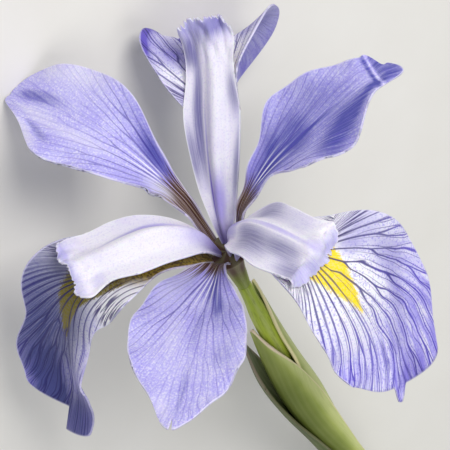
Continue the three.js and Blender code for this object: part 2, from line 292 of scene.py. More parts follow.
def fall_finish(name, signal_colour, shade, under=False):
    """White to lavender with dark branching veins, a yellow signal and a spotted haft. Spots above
    0 lead to the shade colour, painted shade partly mixed with the petal's deeper violet, and spots below 0
    lead to white, painted light."""
    f = Finish(name, roughness=0.55, thin=0.3, velvet=0.1)
    side, along, rim = f.attribute("place")
    label, spread, tone = f.attribute("vein")
    mottle = f.grain(170.0)
    speck = f.grain(2100.0)
    thread = f.fibres(label, along)

    # The petal itself, whiter near the throat
    reach = along + abs(side) * 0.14 + (mottle - 0.5) * 0.25
    outer = f.smooth(reach, 0.52, 1.05)
    f.ground = f.mix(outer, FALL_WHITE, FALL_LAVENDER)
    f.lay(f.smooth(thread, 0.5, 0.62) * f.blend(outer, 0.12, 0.8), FALL_PALE_THREAD)
    f.lay(f.smooth(thread, 0.5, 0.38) * f.blend(outer, 0.05, 0.6), FALL_DEEP_THREAD)
    freckles = f.smooth(speck, 0.52, 0.64) * f.smooth(along, 0.42, 0.56)
    f.lay(freckles * 0.5, FALL_FRECKLE)
    # Painted shade where the spots are above 0, streaked along the fibres and partly the petal's deeper
    # violet, and painted light towards white where they are below 0
    f.lay(f.streaked(tone, thread, 0.85, 1.15), shade)
    f.lay(-tone, FALL_WHITE)

    # Thick veins from the throat, and slender ones between them further out
    ink = f.mix(f.smooth(reach, 0.48, 0.85), THROAT_INK, OUTER_INK)
    # Veins darker where the spots of painted shade lie
    ink = f.mix(tone, ink, SHADED_INK)
    width = f.blend(outer, 0.27, 0.24)
    thick = veins(f, label, spread, along, FALL_VEINS, forks=4, apart=2.7, width=width, even=0.8)
    slender = veins(f, label, spread, along, FALL_VEINS, forks=5, apart=1.5, width=0.12)
    line = f.math("MAXIMUM", thick, slender * f.smooth(reach, 0.5, 0.7) * 0.7)

    # The signal, a tongue with ragged sides that leans off the midrib, under the veins
    ragged = (thread - 0.5) * 0.16 + (speck - 0.5) * 0.12
    taper = (along - SIGNAL_TIP) * -SIGNAL_TAPER
    beside = side + along * 0.45 - 0.22
    signal = f.smooth(taper + ragged - f.math("MAXIMUM", beside, beside * -0.68), -0.01, 0.03)
    signal = signal * f.smooth(along, 0.3, 0.36)
    f.lay(signal * f.blend(f.smooth(speck, 0.45, 0.62), 1.0, 0.82), signal_colour)
    f.lay(line * (0.3 if under else 0.9), ink)

    # The haft, with violet bars on its margins and brown spots on olive nearer the throat
    bars = f.smooth(f.grain(1.0, 1.0, f.join(label * 9.0, along * 16.0)), 0.5, 0.56)
    margin = f.smooth(abs(side), 0.35, 0.6) * f.smooth(along, 0.36, 0.4) * f.smooth(along, 0.5, 0.45)
    f.lay(bars * margin * 0.85, HAFT_BAR)
    spots = f.smooth(f.grain(1700.0), 0.48, 0.56)
    haft = f.smooth(along + abs(side) * 0.12, 0.44, 0.36)
    f.lay(haft, f.mix(spots * 0.8, HAFT_OLIVE, HAFT_SPOT))
    f.lay(f.smooth(rim, 0.35, 0.05) * 0.6, FALL_RIM)
    if under:
        f.lay(0.6, FALL_VEIL_BELOW)
    f.relief(line * 0.6 + thread * 0.25 + speck * 0.2, -0.12)
    return f.done()


# Colours of the standards: petal, veins, throat and claw, with the deep blue of painted shade and a painted
# sheen
STANDARD_BLUE = tint(0xB9B2F4)
STANDARD_PALE = tint(0xCBC6FB)
STANDARD_PALE_SPECK_AND_GLINT = tint(0xEFEDFF)
STANDARD_DEEP_SPECK = tint(0xA097EC)
STANDARD_THREAD = tint(0x9A90E8)
STANDARD_BASE = tint(0x8478D8)
STANDARD_SHADE = tint(0x4C4DA8)
STANDARD_PAINTED_SHEEN = tint(0xF2F0FF)
STANDARD_RIM = tint(0xE6E3FA)
STANDARD_VEIN = tint(0x7C6EDC)
STANDARD_BASE_VEIN = tint(0x3E3098)
THROAT_WHITE = tint(0xF6F4FC)
CLAW_TAN = tint(0xA08A5C)
CLAW_BROWN = tint(0x44221E)


def standard_finish():
    """Pale lavender blue with fine veins, white lines at the base and a striped brown claw. Spots
    above 0 lead to a deep blue, painted shade in folds and on parts turned from the light, partly the petal's
    own deeper blue, and spots below 0 lead to a painted sheen."""
    f = Finish("standard_petal", roughness=0.55, thin=0.3, velvet=0.1)
    side, along, rim = f.attribute("place")
    label, spread, tone = f.attribute("vein")
    mottle = f.grain(140.0)
    speck = f.grain(2300.0)
    thread = f.fibres(label, along, count=40.0)

    f.ground = f.mix(f.smooth(mottle, 0.3, 0.7), STANDARD_BLUE, STANDARD_PALE)
    # Pale specks: the petal's grain together with painted glints of light
    f.lay(f.smooth(speck, 0.45, 0.7) * 0.65, STANDARD_PALE_SPECK_AND_GLINT)
    f.lay(f.smooth(speck, 0.5, 0.25) * 0.4, STANDARD_DEEP_SPECK)
    f.lay(f.smooth(thread, 0.45, 0.7) * 0.45, STANDARD_THREAD)
    f.lay(f.smooth(spread, 6.0, 1.5) * 0.5, STANDARD_BASE)
    # Painted shade where the spots are above 0, partly the petal's deeper blue
    f.lay(f.streaked(tone, thread, 0.75, 1.2), STANDARD_SHADE)

    # Veins, darker towards the base
    dark = f.smooth(spread + (mottle - 0.5) * 4.0, 14.0, 2.5)
    width = f.blend(dark, 0.15, 0.22)
    line = veins(f, label, spread, along, STANDARD_VEINS, forks=4, apart=1.7, width=width, even=0.35)
    f.lay(line * f.blend(dark, 0.35, 0.8), f.mix(dark, STANDARD_VEIN, STANDARD_BASE_VEIN))

    # White between the veins of the throat, then the claw
    throat = f.smooth(spread, 6.5, 2.2) * f.smooth(abs(side), 0.5, 0.15)
    gaps = f.smooth(abs(f.math("FRACT", label * STANDARD_VEINS) - 0.5), 0.18, 0.08)
    f.lay(throat * gaps * 0.9, THROAT_WHITE)
    streak = f.grain(1.0, 1.0, f.join(label * 7.0, along * 2.0))
    claw = f.mix(f.smooth(streak, 0.4, 0.55), CLAW_TAN, CLAW_BROWN)
    f.lay(f.smooth(spread - (streak - 0.5) * 3.0, 2.0, 1.2), claw)
    # Painted sheen where the spots are below 0
    f.lay(-tone, STANDARD_PAINTED_SHEEN)
    f.lay(f.smooth(rim, 0.4, 0.05) * 0.65, STANDARD_RIM)
    f.relief(line * 0.5 + thread * 0.4 + speck * 0.3, -0.12)
    return f.done()


# Colours of the style arms, with the grey of their painted shade
STYLE_WHITE = tint(0xF1EEFA)
STYLE_LILAC = tint(0xDFD9F4)
STYLE_SPECK = tint(0xC8C0EC)
STYLE_BAND = tint(0x8A78DA)
STYLE_PAINTED_SHADE = tint(0x7A76A8)
STYLE_FOOT = tint(0x6E58B4)
STYLE_THREAD = tint(0x9C90E2)
STYLE_RIM = tint(0xFAF9FF)
CREST_BLUE = tint(0xB4AFEC)


def style_finish():
    """White, with lilac wings and a bluish crest. Spots above 0 lead to the violet of the band
    along the ridge, and spots below 0 lead to a soft grey, painted shade on the flanks turned from the light."""
    f = Finish("style_arm_petal", roughness=0.6, thin=0.35, velvet=0.1)
    _, along, rim = f.attribute("place")
    label, _, tone = f.attribute("vein")
    mottle = f.grain(150.0)
    speck = f.grain(2300.0)
    thread = f.fibres(label, along, count=40.0, length=5.0)

    f.ground = f.mix(f.smooth(mottle, 0.45, 0.75) * 0.5, STYLE_WHITE, STYLE_LILAC)
    f.lay(f.smooth(speck, 0.5, 0.7) * 0.3, STYLE_SPECK)
    # The violet band where the spots are above 0, and painted grey shade where they are below 0, streaked
    # along the fibres
    f.lay(tone, STYLE_BAND)
    f.lay(f.streaked(-tone, thread, 0.8, 1.15), STYLE_PAINTED_SHADE)
    f.lay(f.smooth(along, 0.2, 0.02) * 0.8, STYLE_FOOT)
    crest = f.smooth(along + (mottle - 0.5) * 0.1, 0.83, 0.96)
    f.lay(crest * 0.5, CREST_BLUE)
    f.lay(f.smooth(thread, 0.5, 0.75) * f.blend(crest, 0.08, 0.35), STYLE_THREAD)
    f.lay(f.smooth(rim, 0.35, 0.05) * 0.5, STYLE_RIM)
    f.relief(thread + speck * 0.5, 0.12)
    return f.done()


# Colours that all the bracts share; the deep and the pale green also paint shade and light on the front
# spathe
BRACT_DEEP = tint(0x55640F)
BRACT_PALE = tint(0xDDE39A)
BRACT_RIB = tint(0xD8DE9E)
BRACT_THREAD = tint(0x7A8A38)


def bract_finish(name, leaf, shade, margin, margin_start):
    """Bloomy green with fine lengthwise ribs, and a papery margin towards the tip. Spots above 0
    lead to a deep green, and spots below 0 lead to a pale one; on the front spathe these are painted shade
    and painted light."""
    f = Finish(name, roughness=0.55, thin=0.12)
    side, along, rim = f.attribute("place")
    _, spread, tone = f.attribute("vein")
    mottle = f.grain(90.0)
    rib = f.ribs(side * spread * 0.7)
    thread = f.grain(1.0, 3.0, f.join(side * spread * 3.0, along * 9.0))

    f.ground = f.mix(f.smooth(mottle, 0.3, 0.7), leaf, shade)
    # Deep green where the spots are above 0 and pale green where they are below 0: on the front spathe,
    # painted shade and painted light
    f.lay(tone, BRACT_DEEP)
    f.lay(-tone, BRACT_PALE)
    f.lay(rib * 0.05, BRACT_RIB)
    f.lay(f.smooth(thread, 0.45, 0.75) * 0.2, BRACT_THREAD)
    papery = f.smooth(along, margin_start, margin_start + 0.15)
    uneven = rim + (mottle - 0.5) * 0.6
    edge = f.smooth(uneven, f.blend(papery, 0.35, 0.9), f.blend(papery, 0.1, 0.3))
    f.lay(edge * f.blend(papery, 0.4, 1.0), margin)
    f.relief(rib * 0.15 + thread * 0.4, 0.1)
    return f.done()


# Colours that the stem, ovary and tube share
STALK_RIB = tint(0xC9CC93)
STALK_THREAD = tint(0x55602A)


def stalk_finish(name, low, low_height, high, high_height, stripes):
    """Green with lengthwise stripes, from one shade at a height to another."""
    f = Finish(name, roughness=0.5, thin=0.1)
    x, y, z = f.attribute("place")
    rib = f.ribs(f.math("ARCTAN2", y, x) * (stripes / math.tau))
    mottle = f.grain(200.0)
    thread = f.grain(1.0, 3.0, f.join(x * 4.0, y * 4.0, z * 0.25))

    f.ground = f.mix(f.smooth(z + (mottle - 0.5) * 4.0, low_height, high_height), low, high)
    f.lay(rib * 0.3, STALK_RIB)
    f.lay(f.smooth(thread, 0.45, 0.75) * 0.35, STALK_THREAD)
    f.relief(rib * 0.4 + thread * 0.6, 0.1)
    return f.done()


def pollen_finish():
    f = Finish("anther_pollen", roughness=0.8, velvet=0.2)
    dust = f.grain(2600.0, 3.0)
    f.ground = f.mix(f.smooth(dust, 0.4, 0.65), tint(0xC9B26A), tint(0xF0E4B4))
    f.relief(dust, 0.15)
    return f.done()


def filament_finish():
    f = Finish("filament_skin", roughness=0.45, thin=0.4)
    f.ground = f.mix(f.smooth(f.grain(500.0), 0.35, 0.7), tint(0xE7E2D2), tint(0xB9A9CE))
    return f.done()


def floor_finish():
    f = Finish("floor_paper", roughness=0.9)
    f.ground = f.mix(f.grain(40.0, 4.0), tint(0xE6E3DC), tint(0xEFEDE8))
    return f.done()


def between(stations, t):
    """A smooth curve through evenly spaced stations, read at t from 0 to 1, or a little past."""
    last = len(stations) - 1
    x = max(t, 0) * last
    i = min(int(x), last - 1)
    f = x - i
    b, c = stations[i], stations[i + 1]
    a = stations[i - 1] if i > 0 else [2 * p - q for p, q in zip(b, c)]
    d = stations[i + 2] if i < last - 1 else [2 * q - p for p, q in zip(b, c)]
    return [
        q + 0.5 * f * (r - p + f * (2 * p - 5 * q + 4 * r - s + f * (3 * (q - r) + s - p)))
        for p, q, r, s in zip(a, b, c, d)
    ]


# How the fold grows from the midrib (q = 0) to the edge (q = 1), as a share of the fold angle
def petal_fold(q):
    return 0.35 + 0.65 * q


def ridge_fold(q):
    """Steep down both sides of a ridge, and slightly back up at the wings."""
    wing = 0.62
    if q < wing:
        return math.sin(math.pi * (q / wing) ** 0.8)
    return -0.25 * (q - wing) / (1 - wing)


def wrap_fold(q):
    return q


def folded(fold, turn, side, steps=20):
    """How far a cross-section has gone sideways and up, per unit of width, when it reaches side."""
    step = side / steps
    headings = [turn * fold((k + 0.5) * step) for k in range(steps)]
    return sum(map(math.cos, headings)) * step, sum(map(math.sin, headings)) * step


def bow(point):
    """Shifts a point of the stalk sideways, by the bow at its height."""
    depth = max(0, -point.z)
    if depth < BOW_HEIGHT:
        shift = BOW_REACH * (depth / BOW_HEIGHT) ** BOW_POWER
    else:
        slope = BOW_REACH * BOW_POWER / BOW_HEIGHT
        shift = BOW_REACH + slope * (depth - BOW_HEIGHT)
    angle = math.radians(BOW_AZIMUTH)
    return point + shift * Vector((math.cos(angle), math.sin(angle), 0))


def spotted(spots, v, t):
    """The sum of soft spots at (side, along), each [side, along, size across, size along, strength,
    lean]."""
    total = 0
    for side, place, across, lengthwise, strength, lean in spots:
        off = math.hypot((v - side - lean * (t - place)) / across, (t - place) / lengthwise)
        total += strength * math.exp(-(off ** 3))
    return total


def finish_piece(name, bm, materials, thickness=0.0, under=False):
    """Lays the form down on the floor as a piece that stands for the solid of the same name."""
    bmesh.ops.transform(bm, matrix=LYING, verts=bm.verts)
    mesh = bpy.data.meshes.new(name)
    bm.to_mesh(mesh)
    bm.free()
    for material in materials:
        mesh.materials.append(material)
    mesh.shade_smooth()
    piece = bpy.data.objects.new(name + "_skin", mesh)
    bpy.context.scene.collection.objects.link(piece)
    if thickness:
        wall = piece.modifiers.new("wall", "SOLIDIFY")
        wall.thickness = thickness * MM
        wall.offset = 0
        wall.material_offset = 1 if under else 0
    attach(piece, "root")
    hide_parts(name)
    return piece


def blade(
    azimuth, stations, reach, tip=(1, 1), fold=petal_fold, fan=None, waves=(), cuts=(), teeth=(0, 0),
    tones=(), dents=(), swells=(), crumple=(0, 0), rows=80, columns=40,
):
    """A thin blade through folded cross-sections, each at a station
    [outward, up, aside, half width left, half width right, fold left, fold right].
    Reach is how far the left and right edges go along the midrib, and tip how far the middle goes.
    Fan is the place along the midrib where the veins begin to spread, then for either half their
    spread there in millimetres, its growth and the power of that growth; without it they follow the
    edges. Waves are [side, height, number, start]. Cuts are [side place, depth, width] of the end,
    and a depth below 0 makes a lobe. Teeth are a number and a depth. Marks and painted light, dents
    and swells are soft spots. Spots of marks and painted light above 0 lead each finish towards its
    own markings and its painted shade, and spots below 0 towards painted light, except on the style
    arms, where they lead to painted grey shade. Dents push along the normal by millimetres, and
    swells widen an edge by a share of its width. Crumple is the height of uneven folds and where
    they start."""
    angle = math.radians(azimuth)
    outward = Vector((math.cos(angle), math.sin(angle), 0))
    aside = Vector((-math.sin(angle), math.cos(angle), 0))
    nearby = 0.004

    def midrib(t):
        out, rise, drift = between(stations, t)[:3]
        return outward * out + UP * rise + aside * drift

    length = sum((midrib((k + 1) / 40) - midrib(k / 40)).length for k in range(40))

    def vein_spread(t, side):
        """Millimetres to a unit of the veins' own sideways measure."""
        if not fan:
            return between(stations, t)[3 if side > 0 else 4]
        start, left, right = fan
        narrow, growth, power = left if side > 0 else right
        return narrow + growth * max(0, (t - start) * length) ** power

    def end_reach(v):
        edge_end, middle_end = (reach[0], tip[0]) if v >= 0 else (reach[1], tip[1])
        end = edge_end + (middle_end - edge_end) * max(0, 1 - abs(v) ** END_POWER) ** (1 / END_POWER)
        end -= sum(depth * math.exp(-(((v - place) / width) ** 4)) for place, depth, width in cuts)
        number, depth = teeth
        return end - depth * abs(noise.noise(Vector((number * v, azimuth, 0))))

    bm = bmesh.new()
    bmesh.ops.create_grid(bm, x_segments=rows, y_segments=2 * columns, size=1)
    place_layer = bm.verts.layers.float_vector.new("place")
    vein_layer = bm.verts.layers.float_vector.new("vein")
    for vert in bm.verts:
        u = (vert.co.x + 1) / 2
        v = math.sin(math.pi / 2 * vert.co.y)
        end = end_reach(v)
        t = u * end

        # The cross-section there, and how far the point lies along its fold
        half_left, half_right, fold_left, fold_right = between(stations, t)[3:]
        width, turn, sign = (half_left, fold_left, 1) if v >= 0 else (half_right, fold_right, -1)
        width *= 1 + spotted(swells, sign, t)
        along = (midrib(t + nearby) - midrib(max(t - nearby, 0))).normalized()
        normal = along.cross(aside).normalized()
        across = normal.cross(along)
        sideways, rise = folded(fold, math.radians(turn), abs(v))

        for wave_side, height, number, start in waves:
            if wave_side == sign:
                wave = math.sin(math.tau * number * t + start) * min(1, 3 * t)
                rise += height / width * abs(v) ** 3 * wave
        height, start = crumple
        uneven = noise.noise(Vector((4 * v, 12 * t, azimuth))) * max(0, (t - start) / (1 - start))
        lift = width * rise + height * uneven + spotted(dents, v, t)
        vert.co = midrib(t) + across * (sign * width * sideways) + normal * lift

        spread = vein_spread(t, sign)
        growth = (vein_spread(t + nearby, sign) - vein_spread(t - nearby, sign)) / (2 * nearby * length)
        slant = math.hypot(1, v * width * growth / spread)
        vert[place_layer] = (v, t, min((1 - abs(v)) * width, (end - t) * length))
        # The third number of the vein attribute holds the spots: the petal's own markings, and painted shade
        # and light
        vert[vein_layer] = (v * width / spread, spread / slant, spotted(tones, v, t))
    return bm


def turned(profile, shape=lambda angle: 1.0, steps=48):
    """A closed round form from [radius, height] points, lowest first, then bowed as the stalk."""
    bm = bmesh.new()
    points = [bm.verts.new((radius, 0, height)) for radius, height in profile]
    edges = [bm.edges.new(pair) for pair in zip(points, points[1:])]
    bmesh.ops.spin(
        bm, geom=points + edges, axis=UP, cent=(0, 0, 0), angle=math.tau, steps=steps, use_merge=True
    )
    bmesh.ops.remove_doubles(bm, verts=bm.verts, dist=1e-4)
    bmesh.ops.recalc_face_normals(bm, faces=bm.faces)
    place_layer = bm.verts.layers.float_vector.new("place")
    for vert in bm.verts:
        share = shape(math.atan2(vert.co.y, vert.co.x))
        vert.co = Vector((vert.co.x * share, vert.co.y * share, vert.co.z))
        vert[place_layer] = vert.co
        vert.co = bow(vert.co)
    return bm


def smooth_profile(points, steps=6):
    """More points between the ones given, on a smooth curve."""
    count = (len(points) - 1) * steps
    return [between(points, k / count) for k in range(count + 1)]


def tube_along(route, radius, steps=24, sides=12):
    """A closed round form along a route, with its ends drawn in."""
    nearby = 0.02
    bm = bmesh.new()
    bmesh.ops.create_grid(bm, x_segments=steps, y_segments=sides, size=1)
    for vert in bm.verts:
        u = (vert.co.x + 1) / 2
        angle = math.pi * vert.co.y
        ahead = Vector(between(route, min(u + nearby, 1)))
        behind = Vector(between(route, max(u - nearby, 0)))
        along = (ahead - behind).normalized()
        upright = abs(along.z) > 0.999
        first = (along.orthogonal() if upright else along.cross(UP)).normalized()
        second = along.cross(first)
        around = first * math.cos(angle) + second * math.sin(angle)
        vert.co = Vector(between(route, u)) + radius(u, angle) * around
    bmesh.ops.remove_doubles(bm, verts=bm.verts, dist=1e-4)
    bmesh.ops.recalc_face_normals(bm, faces=bm.faces)
    return bm


# The last colour of each is the painted shade that the spots lead to, partly the petal's deeper violet
FALL_FACE = fall_finish("fall_face", tint(0xFFE31C), tint(0x6A5CC0))
# The left fall's face in painted shade: a darker signal and a slate shade, because that fall faces away from
# the light
FALL_FACE_IN_SHADE = fall_finish("fall_face_in_painted_shade", tint(0x7C701C), tint(0x464A86))
FALL_UNDER = fall_finish("fall_underside", tint(0xB9A04A), tint(0x5148A8), under=True)

# Where the veins of a fall begin to spread, and how they spread in most halves
FALL_FAN_START = 0.41
FALL_FAN = (1.2, 1, 1)


def fall(name, azimuth, stations, fan=(FALL_FAN, FALL_FAN), face=FALL_FACE, **options):
    bm = blade(azimuth, stations, fan=(FALL_FAN_START, *fan), **options)
    return finish_piece(name, bm, [face, FALL_UNDER], PETAL_THICKNESS, under=True)


fall(
    "fall_back",
    BACK,
    [
        [3.8, 0.7, 0, 1.5, 1.5, 0, 0],
        [8, 4.5, 0, 2.6, 2.6, 40, 40],
        [16, 8.4, 0, 4.1, 4.2, 40, 40],
        [25, 12.8, 0, 6, 4.6, 22, 30],
        [34, 17.2, 0, 13.8, 6, 31, 55],
        [42.5, 18.3, 0.5, 17.9, 14, 22, 46],
        [47, 11, 2.5, 12, 13.2, 5, 41],
        [48, -2, 5.5, 8, 2.4, 5, 25],
        [47, -13, 8.5, 6, 3, 0, 0],
    ],
    reach=(0.77, 0.84),
    waves=[(1, 0.5, 5, 0), (-1, 0.5, 4, 1)],
    # Darker spots: painted shade, partly the petal's deeper violet; the spot below 0: painted light
    tones=[
        (0.6, 0.55, 0.25, 0.04, 0.5, 0), (1, 0.68, 0.15, 0.15, 0.8, 0), (-0.3, 0.45, 0.3, 0.08, 0.45, 0),
        (-0.6, 0.66, 0.3, 0.06, 0.8, 0), (0.85, 0.42, 0.3, 0.06, 0.5, 0), (0.8, 0.78, 0.3, 0.05, -0.5, 0),
        (1, 0.62, 0.08, 0.06, 0.9, 0), (0.65, 0.6, 0.25, 0.05, 0.5, 0),
    ],
    dents=[(0.98, 0.66, 0.1, 0.06, 0.8, 0)],
)

fall(
    "fall_left",
    LEFT,
    [
        [3.8, 0.7, 0, 1.5, 1.5, 0, 0],
        [8, 6, 0, 4, 3, 10, 45],
        [16, 10.5, 0, 5.4, 4.3, 10, 50],
        [24.5, 12.5, 0, 10.1, 10, 5, 40],
        [33, 10, 0, 8.6, 12.8, -30, 60],
        [38, 1, 0, 6.8, 11.2, -20, 66],
        [41, -8, 0, 9.4, 13.2, 10, 66],
        [44, -15.5, 2, 8.2, 12.6, -10, 60],
        [49.5, -21.5, 6, 7, 7.4, -20, 45],
    ],
    reach=(0.98, 0.87),
    tip=(1, 0.93),
    fan=((3.5, 0.03, 1.3), (1.2, 0.1, 1.6)),
    waves=[(1, 0.4, 6, 0), (-1, 0.5, 4, 2)],
    face=FALL_FACE_IN_SHADE,
    # Painted shade over most of this fall, which faces away from the light; the spot below 0 whitens
    tones=[
        (-0.55, 0.64, 1, 0.25, 0.95, 0), (0.5, 0.95, 0.8, 0.12, 0.9, 0), (-0.5, 0.88, 0.5, 0.12, 0.7, 0),
        (0.5, 0.55, 0.5, 0.1, 0.35, 0), (0, 0.84, 0.3, 0.08, -0.4, 0),
    ],
)

fall(
    "fall_right",
    RIGHT,
    [
        [3.8, 0.7, 0, 1.5, 1.5, 0, 0],
        [8, 7, 0, 3, 3, 45, 45],
        [16, 12.5, 0, 4, 5.2, 45, 50],
        [24.5, 15.5, 0, 9, 8.2, 20, 20],
        [31.5, 13.5, 0, 15.6, 10.3, 10, -5],
        [36.5, 5.5, 0, 19, 12.5, -5, -8],
        [39, -4, -0.5, 18.8, 12.9, -10, -8],
        [41, -12, -3, 18.2, 10.7, -12, -5],
        [43.5, -19, -8, 18.4, 5.4, -15, 0],
    ],
    reach=(0.91, 0.85),
    tip=(0.955, 0.955),
    fan=(FALL_FAN, (1.25, 0.25, 1)),
    waves=[(1, 0.7, 4, 1), (-1, 0.4, 5, 0)],
    cuts=[(0.17, -0.055, 0.07)],
    columns=70,
    # Darker spots: painted shade where the margins fold and turn away from the light, partly the petal's
    # deeper violet; spots below 0: painted light
    tones=[
        (0.65, 0.61, 0.2, 0.08, 0.5, 0), (0.75, 0.48, 0.3, 0.06, 0.45, 0), (0.45, 0.94, 0.3, 0.06, 0.6, 0),
        (0.3, 0.8, 0.2, 0.1, 0.35, -0.3), (0.45, 0.7, 0.14, 0.06, 0.4, 0), (0.42, 0.5, 0.15, 0.04, 0.4, 0),
        (-0.45, 0.68, 0.35, 0.1, -0.45, 0), (-0.6, 0.93, 0.3, 0.05, -0.4, 0),
        (0.3, 0.66, 0.12, 0.1, -0.3, 0),
    ],
)

STANDARD = standard_finish()

# How the veins of either half of a standard spread
STANDARD_FAN = (1.2, 0.06, 1.6)


def standard(name, azimuth, stations, fan_start, **options):
    bm = blade(azimuth, stations, fan=(fan_start, STANDARD_FAN, STANDARD_FAN), **options)
    return finish_piece(name, bm, [STANDARD], PETAL_THICKNESS)


standard(
    "standard_left",
    BACK + STANDARD_OFFSET,
    [
        [3.8, 0.7, 0, 1.4, 1.4, 0, 0],
        [5.1, 7.9, 0, 1.7, 1.6, 40, 40],
        [7.5, 16, 0, 2.8, 2.2, 35, 35],
        [14, 22.5, 0, 5.4, 5, 25, 25],
        [24, 27, 0, 9.7, 11.4, 15, 20],
        [35, 28.5, 0, 10.2, 12.8, 10, 15],
        [45, 28, 0, 4.9, 10.6, 5, 10],
        [53, 26, 0, 2.1, 7.8, 0, 0],
    ],
    reach=(0.66, 0.88),
    fan_start=0.3,
    waves=[(1, 0.6, 6, 0), (-1, 0.5, 5, 1)],
    # Darker spots: painted shade along the creases and on parts turned from the light, partly the petal's
    # deeper blue; spots below 0: painted sheen
    tones=[
        (-0.85, 0.52, 0.3, 0.1, 0.3, 0), (-0.6, 0.42, 0.35, 0.08, 0.85, 0), (-0.25, 0.85, 0.13, 0.1, 0.6, 0),
        (0.6, 0.76, 0.12, 0.06, 0.5, 0), (0.5, 0.36, 0.4, 0.06, -0.5, 0), (-0.85, 0.78, 0.25, 0.15, -0.45, 0),
        (0.25, 0.8, 0.2, 0.12, -0.35, 0), (0.9, 0.8, 0.2, 0.08, -0.5, 0), (0.25, 0.62, 0.15, 0.1, -0.3, 0),
    ],
    dents=[
        (-0.15, 0.85, 0.1, 0.14, -0.9, 0), (0.6, 0.76, 0.1, 0.06, -0.6, 0), (-0.55, 0.42, 0.3, 0.08, -0.6, 0),
    ],
    swells=[(1, 0.37, 1, 0.016, 0.2, 0), (1, 0.7, 1, 0.04, 0.05, 0), (1, 0.6, 1, 0.03, -0.04, 0)],
    rows=130,
)

standard(
    "standard_right",
    RIGHT + STANDARD_OFFSET,
    [
        [3.8, 0.7, 0, 1.4, 1.4, 0, 0],
        [6, 7.5, 0, 1.9, 1.9, 40, 40],
        [9.5, 13, 0, 2.5, 2.6, 35, 35],
        [16, 18, 0, 5.8, 2.9, 25, 25],
        [24, 21.5, 0, 12.4, 9.8, 15, 20],
        [33, 25, 0, 10.9, 11, 10, 15],
        [41.5, 27.5, 0, 6.8, 3.5, 5, 10],
        [49, 26, 0, 3.2, 2.1, 0, 0],
    ],
    reach=(0.83, 0.8),
    fan_start=0.26,
    waves=[(1, 0.6, 6, 0), (-1, 0.5, 5, 1)],
    # Painted shade over the lower half, which turns from the light, and along the fold near the tip, with a
    # painted highlight on the fold's rim; partly the petal's bluer colour, and a dark line on the midrib
    tones=[
        (-0.45, 0.76, 0.35, 0.12, 0.9, 0), (-0.75, 0.64, 0.3, 0.05, 0.5, 0), (0, 0.42, 0.6, 0.1, 0.8, 0),
        (0.1, 0.56, 0.5, 0.06, 0.6, 0), (0.3, 0.68, 0.5, 0.1, 0.35, 0), (0.4, 0.95, 1.2, 0.06, 0.7, 0),
        (0.1, 0.878, 1.5, 0.01, 0.6, 0.1), (0.1, 0.897, 1.5, 0.007, -0.8, 0.1), (0, 0.6, 3, 3, 0.2, 0),
        (0.03, 0.55, 0.035, 0.2, 0.5, 0), (0.5, 0.48, 0.3, 0.04, 0.35, 0), (-0.4, 0.88, 0.4, 0.05, 0.4, 0),
    ],
    dents=[
        (-0.9, 0.55, 0.3, 0.05, 1.2, 0), (-0.9, 0.68, 0.3, 0.05, -1, 0), (0.3, 0.89, 0.8, 0.03, -0.8, 0),
    ],
    swells=[(1, 0.9, 1, 0.02, 0.25, 0), (1, 0.94, 1, 0.015, -0.25, 0), (-1, 0.6, 1, 0.03, -0.04, 0)],
    rows=160,
)

standard(
    "standard_front",
    LEFT + STANDARD_OFFSET,
    [
        [3.8, 0.7, 0, 1.4, 1.4, 0, 0],
        [6.5, 3.5, 0, 1.7, 3, 40, 40],
        [12.5, 6, 0, 3.9, 9, 30, 30],
        [21, 9.5, 0, 8.5, 13.2, 15, 20],
        [30, 13, 0, 11.3, 13.9, 10, 15],
        [38, 15.3, 0, 11.8, 11.2, 10, 15],
        [46, 17.2, 0, 8.3, 6.2, 5, 10],
        [53.5, 19.5, 0, 2.7, 4, 0, 0],
    ],
    reach=(0.8, 0.75),
    fan_start=0.15,
    waves=[(1, 0.5, 7, 0), (-1, 0.5, 6, 1)],
    cuts=[(-0.1, 0.05, 0.06)],
    # Painted shade in the hollow of the throat, partly the violet flush along the midrib; spots below 0:
    # painted light
    tones=[
        (0.12, 0.3, 0.22, 0.09, 0.9, 0), (0.35, 0.4, 0.17, 0.07, 0.7, 0), (0.55, 0.46, 0.4, 0.08, 0.3, 0),
        (0, 0.5, 0.12, 0.12, 0.3, 0), (0.02, 0.82, 0.1, 0.12, 0.35, 0), (0.6, 0.66, 0.2, 0.06, 0.3, 0),
        (-0.75, 0.32, 0.3, 0.1, -0.35, 0), (-0.35, 0.56, 0.15, 0.1, -0.2, 0),
        (-0.6, 0.9, 0.3, 0.06, -0.3, 0),
    ],
)

STYLE = style_finish()

# The crest at the end of a style arm: its teeth's number and depth, and its folds' height and start
CREST_TEETH = (9, 0.045)
CREST_CRUMPLE = (1.6, 0.72)


def style_arm(name, azimuth, stations, **options):
    bm = blade(
        azimuth, stations, fold=ridge_fold, teeth=CREST_TEETH, crumple=CREST_CRUMPLE,
        rows=100, columns=60, **options,
    )
    return finish_piece(name, bm, [STYLE], STYLE_THICKNESS)


